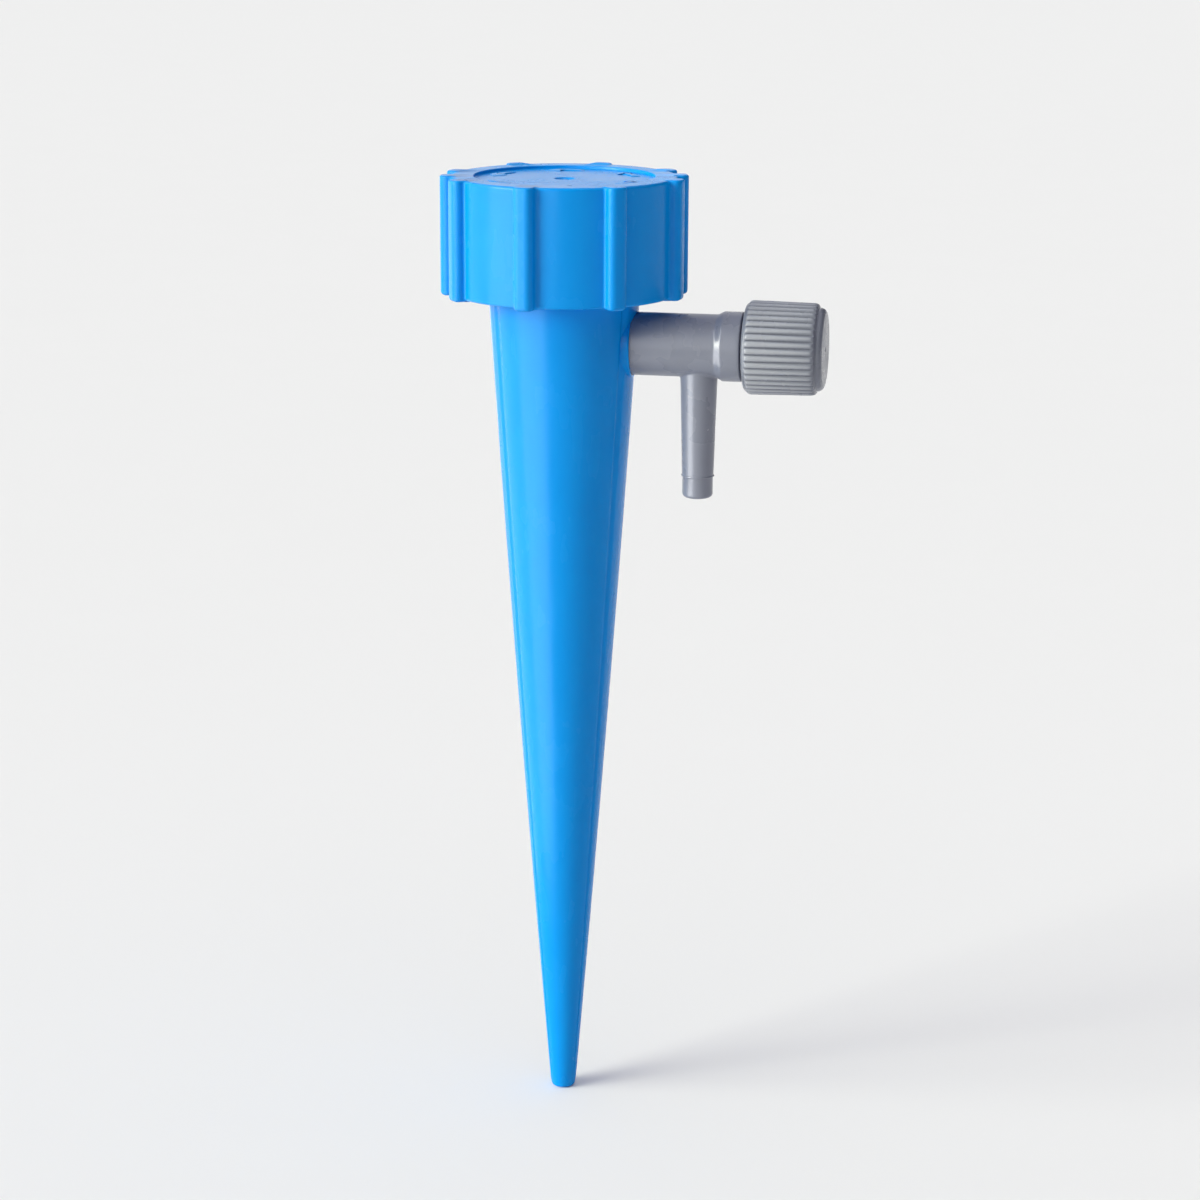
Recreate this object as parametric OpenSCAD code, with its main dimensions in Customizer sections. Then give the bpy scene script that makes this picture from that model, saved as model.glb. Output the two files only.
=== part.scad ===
// Drip watering spike: a hollow stake with a bottle cup, a ribbed screw cap and a side needle valve.
// Millimetres. +Z is up, the origin is the centre of the stake's tip and +X runs out along the valve.

/* [Stake] */
// Height from the tip to the underside of the cup
stake_h = 131; // [110:1:150]
// Radius of the flat end at the tip
tip_r = 1.95; // [1.6:0.05:2.6]
// Radius of the stake where it meets the cup
shoulder_r = 11.6; // [11:0.1:12.4]
// How far the taper swells past a straight line, halfway up
taper_swell = 0.3; // [0:0.05:0.8]
// Wall of the hollow stake
stake_wall = 1.6; // [1.2:0.1:2]
// Length of the tip that is solid
tip_solid_h = 14; // [10:1:24]
// Rounding of the tip's edge
tip_edge_r = 0.7; // [0.2:0.1:1]
// Depth of the grooves beside the two mould seams
groove_depth = 0.3; // [0.1:0.05:0.5]
// Angle that each groove takes up
groove_turn = 9; // [3:0.5:10]
// Angle from the valve's side to the grooves next to it
near_groove_turn = 26; // [25:1:50]
// Angle from the far side to the grooves next to it
far_groove_turn = 37; // [20:1:60]

/* [Cup] */
// Height of the cup from its underside to its rim
cup_h = 14.2; // [12.5:0.1:16]
// Inner radius of the cup, at the root of the bottle thread
socket_r = 13.9; // [13.6:0.1:14.4]
// Wall of the cup
cup_wall = 1.1; // [0.9:0.1:1.5]
// Thickness of the cup's floor
cup_floor_t = 1.8; // [1.2:0.1:2.6]
// Blend between the stake and the cup's underside
shoulder_blend_r = 0.8; // [0.4:0.1:1.2]
// Width of the broken edges on the cup
cup_edge = 0.3; // [0.1:0.05:0.45]
// Outer radius of the bottle washer
washer_r = 12.9; // [12.4:0.1:13.2]
// Thickness of the bottle washer
washer_t = 1.5; // [1:0.1:2]
// Gap between the washer and the recess it lies in
washer_gap = 0.1; // [0.05:0.05:0.3]
// How far the washer reaches in past the edge of the stake's hollow
washer_ledge = 0.4; // [0:0.1:0.8]

/* [Cap] */
// Height of the cap's skirt and top together
cap_h = 17.8; // [16.5:0.1:18]
// Wall of the skirt
cap_wall = 1.45; // [1.2:0.05:2]
// Space between the skirt and the cup, which the cap's thread fills
cap_thread_space = 0.75; // [0.5:0.05:1]
// Thickness of the cap's top
cap_top_t = 1.8; // [1.4:0.1:2.6]
// Rounding of the cap's top edge
cap_edge_r = 0.45; // [0.2:0.05:0.6]
// Thickness of the soft disc under the cap's top
liner_t = 1; // [0.6:0.1:1.5]
// Gap between that disc and the skirt
liner_gap = 0.2; // [0.1:0.05:0.4]
// Number of evenly spaced grip ribs, besides the two over the mould's seams
rib_count = 8; // [6:2:10]
// Width of a grip rib
rib_w = 3.1; // [2.5:0.1:4.4]
// How far a rib stands out from the skirt
rib_proud = 1.6; // [1.2:0.1:2]
// Rounding of a rib's outer edges
rib_edge_r = 0.75; // [0.3:0.05:1]
// Rounding where a rib meets the skirt
rib_root_r = 0.45; // [0.3:0.05:0.8]
// How far a rib reaches below the skirt
rib_overhang = 0.2; // [0:0.05:0.4]
// How far a rib stands above the cap's top
rib_rise = 0.1; // [0:0.05:0.3]
// Angle from the valve's side to the first rib
first_rib_turn = -8.6; // [-22:0.2:22]
// Radius of the shallow recess in the cap's top
top_recess_r = 13.7; // [11:0.1:15]
// Depth of that recess
top_recess_depth = 0.5; // [0.2:0.05:0.8]

/* [Valve] */
// Distance from the cup's underside down to the valve's axis
valve_drop = 8.2; // [7.8:0.1:12]
// Radius of the valve's barrel
barrel_r = 4.8; // [4.5:0.05:4.9]
// How far the barrel is let into the stake
barrel_inset = 2.5; // [2:0.1:3]
// Length of the barrel from its seat in the stake to the step
barrel_l = 15.2; // [14.8:0.1:20]
// Radius of the collar
collar_r = 5.3; // [5.1:0.05:5.8]
// Length of the conical step between barrel and collar
step_l = 0.9; // [0.5:0.1:1.5]
// Length of the collar
collar_l = 3; // [2:0.1:5]
// Radius of the neck, at the root of the knob's thread
neck_r = 4.4; // [4.2:0.05:4.7]
// Length of the neck
neck_l = 8.8; // [7:0.1:9.2]
// Width of the broken edges on the collar and the neck
valve_edge = 0.25; // [0.1:0.05:0.4]
// Radius of the spigot that plugs into the stake
spigot_r = 3.6; // [3.5:0.05:3.9]
// Length of the spigot
spigot_l = 2.8; // [2.6:0.1:3.4]
// Length of the boss inside the stake that holds the spigot
boss_l = 2; // [1.9:0.1:2.4]
// Wall of that boss around the barrel
boss_wall = 1; // [0.8:0.1:1.4]
// How far the raised pad round the barrel ends inside the stake's widest line there
pad_drop = 0.25; // [0.1:0.05:0.5]
// Wall of that pad around the barrel
pad_wall = 0.4; // [0.3:0.05:0.6]
// Radius of the bore that takes water in
inlet_r = 1.5; // [1.2:0.05:1.7]
// Radius of the hole that the needle closes
orifice_r = 0.9; // [0.7:0.05:1]
// Length of that hole and its seat
orifice_l = 1.7; // [1.4:0.1:2.4]
// Radius of the chamber that the needle slides in
chamber_r = 2.5; // [2.4:0.05:2.7]

/* [Nozzle] */
// Distance from the barrel's seat to the nozzle's axis
nozzle_at = 12.3; // [11.8:0.1:12.5]
// Distance from the valve's axis down to the nozzle's end
nozzle_drop = 23.5; // [18:0.1:30]
// Radius of the nozzle where it leaves the barrel
nozzle_top_r = 2.85; // [2.5:0.05:3]
// Radius of the nozzle's straight end
nozzle_end_r = 2.35; // [2:0.05:2.45]
// Length of the nozzle's straight end
nozzle_end_l = 3.4; // [2.4:0.1:6]
// Rounding of the nozzle's end
nozzle_edge_r = 0.7; // [0.3:0.05:1]
// Radius of the outlet bore
outlet_r = 1.1; // [0.8:0.05:1.3]

/* [Knob] */
// Gap between the collar and the closed knob
knob_gap = 0.3; // [0.3:0.05:1]
// Radius over the knob's ridges
knob_r = 7.15; // [6.9:0.05:8]
// Length of the ridged part
grip_l = 11; // [9.6:0.1:13]
// Number of ridges
ridge_count = 40; // [28:1:40]
// Radius that a ridge is rounded to
ridge_r = 0.46; // [0.36:0.02:0.5]
// How far a ridge stands out
ridge_proud = 0.34; // [0.2:0.02:0.36]
// Rounding of the grip's two ends
knob_edge_r = 0.8; // [0.4:0.05:1]
// Length of the smooth rim at the knob's mouth, before the ridges start
mouth_rim_l = 0.5; // [0.3:0.1:1]
// Radius of the smooth end disc
end_disc_r = 6.3; // [5.6:0.05:6.4]
// Length of the smooth end disc
end_disc_l = 1.1; // [0.9:0.1:1.6]
// Rounding of the end disc's edge
end_disc_edge_r = 0.7; // [0.3:0.05:0.8]
// Space between knob and neck, which the knob's thread fills
knob_thread_space = 0.7; // [0.5:0.05:0.9]
// Thickness of the knob's closed end
knob_end_t = 2.1; // [1.8:0.1:2.4]

/* [Needle] */
// Radius of the needle's front stem
stem_r = 1.3; // [1.1:0.05:1.4]
// Gap all round between the needle and the chamber
needle_fit = 0.08; // [0.03:0.01:0.1]
// Gap between the closed needle and its seat
seat_gap = 0.03; // [0.02:0.01:0.1]
// Radius at the needle's point
point_r = 0.3; // [0.2:0.05:0.5]
// Length of the fine taper that meters the water
point_l = 1.5; // [1:0.1:2]
// Radius of the pin that is pressed into the knob
press_pin_r = 1.8; // [1.5:0.05:2]
// Length of that pin
press_pin_l = 1.2; // [0.8:0.1:1.3]

/* [Seals] */
// Section radius of the needle's O-ring
needle_ring_r = 0.45; // [0.4:0.01:0.5]
// Section radius of the port's O-ring
port_ring_r = 0.48; // [0.4:0.01:0.5]
// Gap between an O-ring and the walls it lies between
ring_gap = 0.02; // [0.01:0.01:0.04]
// Gap beside an O-ring in its groove
ring_side_gap = 0.1; // [0.05:0.05:0.2]
// Gap round the barrel and the spigot in the stake
plug_fit = 0.05; // [0.02:0.01:0.1]

/* [Hidden] */
$fn = 96;
BLUE = [0.06, 0.52, 0.87];
GREY = [0.5, 0.52, 0.56];
SEAL = [0.12, 0.12, 0.13];
FOAM = [0.93, 0.93, 0.9];
// How far a cut runs past the face it opens
overrun = 1;
// Straight lengths that follow the stake's taper
taper_steps = 14;
// Straight lengths that follow a quarter of a rounded edge
edge_steps = 4;

// Heights
valve_z = stake_h - valve_drop;
floor_z = stake_h + cup_floor_t;
bottle_seat_z = floor_z + washer_t;
rim_z = stake_h + cup_h;
cap_ceiling_z = rim_z + liner_t;
cap_top_z = cap_ceiling_z + cap_top_t;
cap_base_z = cap_top_z - cap_h;

// Radii of the cup and the cap, from the inside out
cup_r = socket_r + cup_wall;
cap_bore_r = cup_r + cap_thread_space;
skirt_r = cap_bore_r + cap_wall;
hollow_r = shoulder_r - stake_wall;
washer_recess_r = washer_r + washer_gap;
// The washer's hole is a little smaller than the stake's
washer_hole_r = hollow_r - washer_ledge;
liner_r = cap_bore_r - liner_gap;
rib_pitch = 360 / rib_count;
// Bevel inside the skirt's lower edge
skirt_lead_in = 0.4;
// Round gate mark in the middle of the cap's top, with a pip on its floor
gate_r = 1.55;
gate_depth = 0.3;
gate_pip_r = 0.5;
gate_pip_h = 0.2;

// Places along the valve, measured from the stake's axis
seat_x = taper_r(valve_z) - barrel_inset;
pad_x = taper_r(valve_z) - pad_drop;
spigot_end_x = seat_x - spigot_l;
boss_end_x = seat_x - boss_l;
port_ring_x = seat_x - boss_l / 2;
step_x = seat_x + barrel_l;
collar_x = step_x + step_l;
neck_x = collar_x + collar_l;
neck_end_x = neck_x + neck_l;
nozzle_x = seat_x + nozzle_at;
// The chamber starts a wall away from the outlet bore
chamber_wall = 1.2;
chamber_x = nozzle_x - outlet_r - chamber_wall;
orifice_x = chamber_x - orifice_l;
seat_cone_l = 0.5;
knob_x = neck_x + knob_gap;
grip_end_x = knob_x + grip_l;
knob_end_x = grip_end_x + end_disc_l;
// The grip's rounding leaves a narrow shelf round the end disc
disc_shelf = 0.05;
grip_edge_r = min(knob_edge_r, knob_r - end_disc_r - disc_shelf);
knob_floor_x = knob_end_x - knob_end_t;
press_pin_gap = 0.01;
knob_dimple_r = 0.35;
knob_dimple_depth = 0.15;
knob_lead_in = 0.3;

// Radii of the valve's inner parts
knob_bore_r = neck_r + knob_thread_space;
grip_core_r = knob_r - ridge_proud;
boss_r = barrel_r + plug_fit + boss_wall;
pad_r = barrel_r + plug_fit + pad_wall;
pad_edge = 0.2;
plug_hole_r = spigot_r + plug_fit;
port_groove_r = plug_hole_r - 2 * (port_ring_r + ring_gap);
port_groove_l = 2 * (port_ring_r + ring_side_gap);
guide_r = chamber_r - needle_fit;
needle_groove_r = chamber_r - 2 * (needle_ring_r + ring_gap);
needle_groove_l = 2 * (needle_ring_r + ring_side_gap);
// Guides on both sides of the needle's O-ring start past the outlet bore
guide_x = nozzle_x + outlet_r + chamber_wall;
needle_ring_x = guide_x + chamber_wall + needle_groove_l / 2;

// Nozzle heights
nozzle_end_z = valve_z - nozzle_drop;
nozzle_ring_z = nozzle_end_z + nozzle_end_l;

// Radius of the stake at height z
function taper_r(z) =
    tip_r + (shoulder_r - tip_r) * z / stake_h + taper_swell * 4 * z / stake_h * (1 - z / stake_h);

// Points of a rounded corner, from angle a to angle b round a centre
function arc(x, y, r, a, b) =
    [for (i = [0 : edge_steps]) let (t = a + (b - a) * i / edge_steps) [x + r * cos(t), y + r * sin(t)]];

// Points up the stake's taper from one height to another, moved in by a wall
function taper(from_z, to_z, wall) =
    [for (i = [0 : taper_steps]) let (z = from_z + (to_z - from_z) * i / taper_steps)
        [taper_r(z) - wall, z]];

function reversed(list) = [for (i = [len(list) - 1 : -1 : 0]) list[i]];

// Places a shape, drawn round the Z axis, round the valve's axis
module along_valve(x = 0) {
    translate([x, 0, valve_z]) rotate([0, 90, 0]) children();
}

// Ring of round section round the Z axis
module o_ring(middle_r, section_r) {
    rotate_extrude() translate([middle_r, 0]) circle(r = section_r, $fn = 32);
}

// Half section of the hollow stake and its cup
module stake_section() {
    tip_edge = arc(tip_r - tip_edge_r, tip_edge_r, tip_edge_r, -90, 0);
    blend_x = shoulder_r + shoulder_blend_r;
    blend = arc(blend_x, stake_h - shoulder_blend_r, shoulder_blend_r, 180, 90);
    polygon(concat(
        [[0, 0]],
        tip_edge,
        taper(2 * tip_edge_r, stake_h - shoulder_blend_r - overrun, 0),
        blend,
        [
            [cup_r - cup_edge, stake_h],
            [cup_r, stake_h + cup_edge],
            [cup_r, rim_z - cup_edge],
            [cup_r - cup_edge, rim_z],
            [socket_r + cup_edge, rim_z],
            [socket_r, rim_z - cup_edge],
            [socket_r, bottle_seat_z],
            [washer_recess_r, bottle_seat_z],
            [washer_recess_r, floor_z],
            [hollow_r, floor_z]
        ],
        reversed(taper(tip_solid_h, stake_h, stake_wall)),
        [[0, tip_solid_h]]
    ));
}

// Boss inside the stake that holds the valve's spigot
module valve_boss() {
    intersection() {
        along_valve(boss_end_x) cylinder(r = boss_r, h = shoulder_r);
        rotate_extrude() polygon(concat(
            [[0, 0]],
            taper(tip_solid_h, stake_h, stake_wall / 2),
            [[0, stake_h]]
        ));
    }
}

// Raised pad on the stake that the barrel passes through
module valve_pad() {
    along_valve() rotate_extrude() polygon([
        [0, seat_x],
        [pad_r, seat_x],
        [pad_r, pad_x - pad_edge],
        [pad_r - pad_edge, pad_x],
        [0, pad_x]
    ]);
}

// One groove down the stake, turned to its place
module groove(turn) {
    low_z = 1.5 * tip_edge_r;
    high_z = stake_h - 2 * shoulder_blend_r;
    floor_line = taper(low_z, high_z, groove_depth);
    outer_line = taper(low_z, high_z, -overrun);
    rotate([0, 0, turn - groove_turn / 2])
        rotate_extrude(angle = groove_turn) polygon(concat(floor_line, reversed(outer_line)));
}

module stake_body() {
    color(BLUE) difference() {
        union() {
            difference() {
                rotate_extrude() stake_section();
                for (side = [-1, 1]) {
                    groove(side * near_groove_turn);
                    groove(180 + side * far_groove_turn);
                }
            }
            valve_boss();
            valve_pad();
        }
        along_valve(seat_x) cylinder(r = barrel_r + plug_fit, h = barrel_inset + overrun);
        along_valve(boss_end_x - overrun) cylinder(r = plug_hole_r, h = boss_l + 2 * overrun);
    }
}

module bottle_washer() {
    color(SEAL) translate([0, 0, floor_z]) difference() {
        cylinder(r = washer_r, h = washer_t);
        translate([0, 0, -overrun]) cylinder(r = washer_hole_r, h = washer_t + 2 * overrun);
    }
}

// Outline of one grip rib, with rounded outer edges and a hollow blend at each root
module rib_outline() {
    half = rib_w / 2;
    out = skirt_r + rib_proud;
    sunk = skirt_r - cap_wall / 2;
    foot = sqrt(pow(skirt_r, 2) - pow(half + rib_root_r, 2));
    root = arc(foot + rib_root_r, half + rib_root_r, rib_root_r, 180, 270);
    edge = arc(out - rib_edge_r, half - rib_edge_r, rib_edge_r, 90, 0);
    side = concat([[sunk, half + rib_root_r]], root, edge);
    polygon(concat(side, reversed([for (p = side) [p[0], -p[1]]])));
}

// Height and rounded ends of the ribs, as a ring
module rib_band() {
    out = skirt_r + rib_proud;
    low = cap_base_z - rib_overhang;
    high = cap_top_z + rib_rise;
    rotate_extrude() polygon(concat(
        [[cap_bore_r + cap_wall / 4, low]],
        arc(out - rib_edge_r, low + rib_edge_r, rib_edge_r, -90, 0),
        arc(out - rib_edge_r, high - rib_edge_r, rib_edge_r, 0, 90),
        [[cap_bore_r + cap_wall / 4, high]]
    ));
}

module screw_cap() {
    color(BLUE) union() {
        difference() {
            rotate_extrude() polygon(concat(
                [
                    [0, cap_ceiling_z],
                    [cap_bore_r, cap_ceiling_z],
                    [cap_bore_r, cap_base_z + skirt_lead_in],
                    [cap_bore_r + skirt_lead_in, cap_base_z]
                ],
                arc(skirt_r - cap_edge_r, cap_base_z + cap_edge_r, cap_edge_r, -90, 0),
                arc(skirt_r - cap_edge_r, cap_top_z - cap_edge_r, cap_edge_r, 0, 90),
                [
                    [top_recess_r, cap_top_z],
                    [top_recess_r, cap_top_z - top_recess_depth],
                    [0, cap_top_z - top_recess_depth]
                ]
            ));
            translate([0, 0, cap_top_z - top_recess_depth - gate_depth]) difference() {
                cylinder(r = gate_r, h = gate_depth + overrun);
                cylinder(r = gate_pip_r, h = gate_pip_h);
            }
        }
        intersection() {
            translate([0, 0, cap_base_z - overrun]) linear_extrude(height = cap_h + 2 * overrun) {
                for (i = [0 : rib_count - 1]) rotate(first_rib_turn + i * rib_pitch) rib_outline();
                for (seam = [0, 180]) rotate(first_rib_turn + rib_pitch / 2 + seam) rib_outline();
            }
            rib_band();
        }
    }
}

module cap_liner() {
    color(FOAM) translate([0, 0, rim_z]) cylinder(r = liner_r, h = liner_t);
}

// Turned outside of the valve, from the spigot's end to the neck's end
module valve_outside() {
    along_valve() rotate_extrude() polygon([
        [0, spigot_end_x],
        [spigot_r - valve_edge, spigot_end_x],
        [spigot_r, spigot_end_x + valve_edge],
        [spigot_r, port_ring_x - port_groove_l / 2],
        [port_groove_r, port_ring_x - port_groove_l / 2],
        [port_groove_r, port_ring_x + port_groove_l / 2],
        [spigot_r, port_ring_x + port_groove_l / 2],
        [spigot_r, seat_x],
        [barrel_r, seat_x],
        [barrel_r, step_x],
        [collar_r, collar_x],
        [collar_r, neck_x - valve_edge],
        [collar_r - valve_edge, neck_x],
        [neck_r, neck_x],
        [neck_r, neck_end_x - valve_edge],
        [neck_r - valve_edge, neck_end_x],
        [0, neck_end_x]
    ]);
}

// Nozzle under the barrel: a slight taper, a small step and a straight rounded end
module nozzle_outside() {
    taper_end_r = (nozzle_top_r + 6 * nozzle_end_r) / 7;
    translate([nozzle_x, 0, 0]) rotate_extrude() polygon(concat(
        [[0, nozzle_end_z]],
        arc(nozzle_end_r - nozzle_edge_r, nozzle_end_z + nozzle_edge_r, nozzle_edge_r, -90, 0),
        [
            [nozzle_end_r, nozzle_ring_z],
            [taper_end_r, nozzle_ring_z],
            [nozzle_top_r, valve_z - barrel_r],
            [nozzle_top_r, valve_z - chamber_r],
            [0, valve_z - chamber_r]
        ]
    ));
}

module valve_body() {
    color(GREY) difference() {
        union() {
            valve_outside();
            nozzle_outside();
        }
        along_valve(spigot_end_x - overrun)
            cylinder(r = inlet_r, h = orifice_x - spigot_end_x + overrun);
        along_valve(orifice_x - overrun) cylinder(r = orifice_r, h = orifice_l + 2 * overrun);
        along_valve(chamber_x - seat_cone_l)
            cylinder(r1 = orifice_r, r2 = orifice_r + seat_cone_l, h = seat_cone_l);
        along_valve(chamber_x) cylinder(r = chamber_r, h = neck_end_x - chamber_x + overrun);
        translate([nozzle_x, 0, nozzle_end_z - overrun])
            cylinder(r = outlet_r, h = nozzle_drop + overrun);
    }
}

module port_o_ring() {
    color(SEAL) along_valve(port_ring_x)
        o_ring(plug_hole_r - ring_gap - port_ring_r, port_ring_r);
}

// Round envelope of the knob, which rounds both ends of the ridges
module knob_envelope() {
    along_valve() rotate_extrude() polygon(concat(
        [[0, knob_x]],
        arc(knob_r - grip_edge_r, knob_x + grip_edge_r, grip_edge_r, -90, 0),
        arc(knob_r - grip_edge_r, grip_end_x - grip_edge_r, grip_edge_r, 0, 90),
        [[end_disc_r, grip_end_x]],
        arc(end_disc_r - end_disc_edge_r, knob_end_x - end_disc_edge_r, end_disc_edge_r, 0, 90),
        [[0, knob_end_x]]
    ));
}

module control_knob() {
    color(GREY) difference() {
        intersection() {
            knob_envelope();
            along_valve(knob_x - overrun) union() {
                cylinder(r = grip_core_r, h = grip_l + end_disc_l + 2 * overrun);
                for (i = [0 : ridge_count - 1]) rotate(i * 360 / ridge_count)
                    translate([knob_r - ridge_r, 0, overrun + mouth_rim_l])
                        cylinder(r = ridge_r, h = grip_l, $fn = 24);
            }
        }
        along_valve(knob_x - overrun)
            cylinder(r = knob_bore_r, h = knob_floor_x - knob_x + overrun);
        along_valve(knob_x - overrun)
            cylinder(r1 = knob_bore_r + knob_lead_in + overrun, r2 = knob_bore_r,
                h = knob_lead_in + overrun);
        along_valve(knob_floor_x - overrun)
            cylinder(r = press_pin_r + press_pin_gap, h = press_pin_l + press_pin_gap + overrun);
        along_valve(knob_end_x - knob_dimple_depth)
            cylinder(r = knob_dimple_r, h = knob_dimple_depth + overrun);
    }
}

module flow_needle() {
    // The cone that closes the orifice lies a seat gap away from the seat's own cone
    cone_x = chamber_x - seat_cone_l + seat_gap;
    color(GREY) along_valve() rotate_extrude() polygon([
        [0, cone_x - point_l],
        [point_r, cone_x - point_l],
        [orifice_r - needle_fit, cone_x],
        [stem_r, cone_x + stem_r - orifice_r],
        [stem_r, guide_x],
        [guide_r, guide_x],
        [guide_r, needle_ring_x - needle_groove_l / 2],
        [needle_groove_r, needle_ring_x - needle_groove_l / 2],
        [needle_groove_r, needle_ring_x + needle_groove_l / 2],
        [guide_r, needle_ring_x + needle_groove_l / 2],
        [guide_r, knob_floor_x],
        [press_pin_r, knob_floor_x],
        [press_pin_r, knob_floor_x + press_pin_l],
        [0, knob_floor_x + press_pin_l]
    ]);
}

module needle_o_ring() {
    color(SEAL) along_valve(needle_ring_x)
        o_ring(chamber_r - ring_gap - needle_ring_r, needle_ring_r);
}

stake_body();
bottle_washer();
screw_cap();
cap_liner();
valve_body();
port_o_ring();
control_knob();
flow_needle();
needle_o_ring();
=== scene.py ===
"""Looks of a drip watering spike: a blue stake with a ribbed screw cap and a grey needle valve.

Shapes are drawn in millimetres in the part's own frame and brought to metres as each piece is finished.
"""
from math import asin, atan2, cos, degrees, pi, radians, sin, sqrt, tan

import bmesh
import bpy
from mathutils import Matrix, Quaternion, Vector


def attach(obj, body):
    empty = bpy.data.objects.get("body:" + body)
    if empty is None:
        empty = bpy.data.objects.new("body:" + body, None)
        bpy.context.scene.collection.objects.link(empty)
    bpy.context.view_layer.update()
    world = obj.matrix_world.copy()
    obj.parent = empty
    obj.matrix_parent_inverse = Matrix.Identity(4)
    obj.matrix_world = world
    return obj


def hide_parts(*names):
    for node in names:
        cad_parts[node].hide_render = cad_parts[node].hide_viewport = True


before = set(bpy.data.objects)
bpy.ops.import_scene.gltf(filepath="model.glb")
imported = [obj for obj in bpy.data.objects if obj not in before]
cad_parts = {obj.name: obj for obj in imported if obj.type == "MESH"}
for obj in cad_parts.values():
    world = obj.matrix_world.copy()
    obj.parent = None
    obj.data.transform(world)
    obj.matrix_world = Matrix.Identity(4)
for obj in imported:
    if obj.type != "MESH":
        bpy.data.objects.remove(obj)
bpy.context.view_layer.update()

MM = 0.001

# Points closer than this are merged, and shapes that are joined reach this far into each other
WELD = 0.0005
SINK = 0.1

# Stake and cup
STAKE_H = 131
TIP_R = 1.95
SHOULDER_R = 11.6
SWELL = 0.3
STAKE_WALL = 1.6
TIP_SOLID_H = 14
TIP_EDGE_R = 0.7
SKIN_START_Z = 1.4
BLEND_R = 0.8
BLEND_Z = STAKE_H - BLEND_R
CUP_H = 14.2
SOCKET_R = 13.9
CUP_WALL = 1.1
CUP_FLOOR_T = 1.8
CUP_EDGE_R = 0.3
WASHER_R = 12.9
WASHER_T = 1.5
WASHER_GAP = 0.1
FLOOR_Z = STAKE_H + CUP_FLOOR_T
RIM_Z = STAKE_H + CUP_H
CUP_R = SOCKET_R + CUP_WALL
HOLLOW_R = SHOULDER_R - STAKE_WALL

# Mould grooves: angle of the deepest line, then how far the groove reaches to its two sides
GROOVES = [(-28.3, 2.2, 7), (28.3, 7, 2.2), (143, 5, 5), (-143, 5, 5)]
GROOVE_DEPTH = 0.3
GROOVE_FADE_LOW = 3
GROOVE_FADE_HIGH = 1.5

# Pad on the stake round the valve's barrel
PAD_DROP = 0.25
PAD_WALL = 0.4
PAD_EDGE = 0.2

# Cap
CAP_WALL = 1.45
CAP_THREAD_SPACE = 0.75
LINER_T = 1
CAP_TOP_T = 1.8
CAP_H = 17.8
CAP_EDGE_R = 0.45
CAP_CEILING_Z = RIM_Z + LINER_T
CAP_TOP_Z = CAP_CEILING_Z + CAP_TOP_T
CAP_BASE_Z = CAP_TOP_Z - CAP_H
CAP_BORE_R = CUP_R + CAP_THREAD_SPACE
SKIRT_R = CAP_BORE_R + CAP_WALL
LEAD_IN = 0.4
RIB_COUNT = 8
RIB_W = 3.1
RIB_PROUD = 1.6
RIB_EDGE_R = 1.1
RIB_ROOT_R = 0.45
RIB_FOOT_R = 0.65
RIB_TOP_R = 0.35
RIB_FOOT_Z = CAP_BASE_Z - 0.2
RIB_TOP_Z = CAP_TOP_Z + 0.1
FIRST_RIB = -8.6
RIB_PITCH = 360 / RIB_COUNT
RECESS_R = 13.7
RECESS_DEPTH = 0.5
RECESS_Z = CAP_TOP_Z - RECESS_DEPTH
GATE_R = 1.55
GATE_DEPTH = 0.3
ROOT_STEPS = 6

# Arrows on the cap's top: angles in degrees, and the head's and shaft's shares of the reach and width
MARK_COUNT = 6
FIRST_MARK = -79
MARK_R = 11.2
MARK_W = 3
MARK_REACH = 32
MARK_HEAD = 0.36
MARK_SHAFT = 0.44
MARK_H = 0.2

# Threads: height over the wall, width at root and crest, lead, turns, and where each one starts
CAP_THREAD = (0.55, 1.3, 0.5, 5, 1.6)
BOTTLE_THREAD = (0.9, 1.6, 0.7, 3.2, 2)
VALVE_THREAD = (0.5, 0.85, 0.3, 1.5, 4.4)
CUP_THREAD_Z = STAKE_H + 3.2
BOTTLE_THREAD_Z = FLOOR_Z + 3.6
CAP_THREAD_Z = CAP_BASE_Z + 3.4
THREAD_STEPS = 72
THREAD_RUN_OUT = 1 / 6
THREAD_SUNK = 0.3

# Valve, measured along its own axis from the stake's axis
VALVE_Z = STAKE_H - 8.2
BARREL_R = 4.8
BARREL_INSET = 2.5
COLLAR_R = 5.3
NECK_R = 4.4
SPIGOT_R = 3.6
CHAMBER_R = 2.5
PLUG_FIT = 0.05
BOSS_WALL = 1
BOSS_L = 2


def taper_r(z):
    """Radius of the stake at a height."""
    up = z / STAKE_H
    return TIP_R + (SHOULDER_R - TIP_R) * up + SWELL * 4 * up * (1 - up)


SEAT_X = taper_r(VALVE_Z) - BARREL_INSET
SPIGOT_END_X = SEAT_X - 2.8
BOSS_END_X = SEAT_X - BOSS_L
PORT_RING_X = SEAT_X - BOSS_L / 2
STEP_X = SEAT_X + 15.2
COLLAR_X = STEP_X + 0.9
NECK_X = COLLAR_X + 3
NECK_END_X = NECK_X + 8.8
NECK_THREAD_X = NECK_X + 1.2
NOZZLE_X = SEAT_X + 12.3
NOZZLE_TOP_R = 2.85
NOZZLE_END_R = 2.35
NOZZLE_END_Z = VALVE_Z - 23.5
NOZZLE_RING_Z = NOZZLE_END_Z + 3.4
OUTLET_R = 1.1
CHAMBER_X = NOZZLE_X - OUTLET_R - 1.2
ORIFICE_R = 0.9
ORIFICE_X = CHAMBER_X - 1.7
INLET_R = 1.5
SEAT_CONE_L = 0.5
VALVE_EDGE = 0.3

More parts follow.
